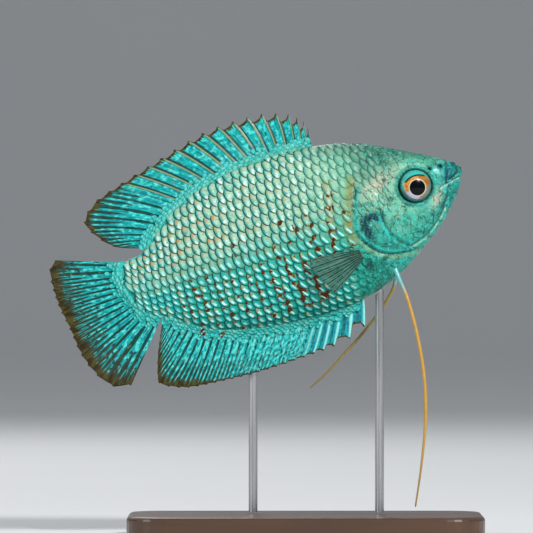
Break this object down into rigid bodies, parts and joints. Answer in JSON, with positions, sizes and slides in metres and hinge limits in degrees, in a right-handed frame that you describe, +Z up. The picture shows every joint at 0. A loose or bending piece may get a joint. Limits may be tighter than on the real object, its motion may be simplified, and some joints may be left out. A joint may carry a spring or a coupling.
{
  "type": "dwarf gourami fish model on a display stand",
  "caption": "Life-size still model of a male dwarf gourami with spread fins and long thread feelers, held over a plain flat base by two thin rods.",
  "frame": {"origin": "centre of the underside of the stand's base", "axes": "+Z up, +X towards the fish's snout, +Y towards the fish's left flank"},
  "size_m": [0.0781, 0.036, 0.0763],
  "materials": {
    "skin": "blue-green scales with a metallic sheen and red-brown spots",
    "head_skin": "smooth mint-green head skin with a turquoise sheen",
    "fin": "thin turquoise membrane over raised rays, olive-brown margin",
    "clear_fin": "half-clear grey-green membrane with pale rays",
    "feeler": "golden thread, pale at the root",
    "eye": "glossy eye, black pupil, cream and orange rings",
    "stand_wood": "dark stained hardwood, satin lacquer",
    "stand_metal": "brushed steel rod"
  },
  "bodies": {
    "root": {"anal_fin": "fin", "dorsal_fin": "fin", "eye_left": "eye", "eye_right": "eye", "feeler_left_lower": "feeler", "feeler_left_middle": "feeler", "feeler_left_upper": "feeler", "feeler_right_lower": "feeler", "feeler_right_middle": "feeler", "feeler_right_upper": "feeler", "gill_cover_left": "head_skin", "gill_cover_right": "head_skin", "head": "head_skin", "lower_jaw": "head_skin", "pectoral_fin_left": "clear_fin", "pectoral_fin_right": "clear_fin", "stand_base": "stand_wood", "stand_rod_front": "stand_metal", "stand_rod_rear": "stand_metal", "tail_fin": "fin", "tail_stem": "skin", "torso": "skin"}
  },
  "joints": []
}
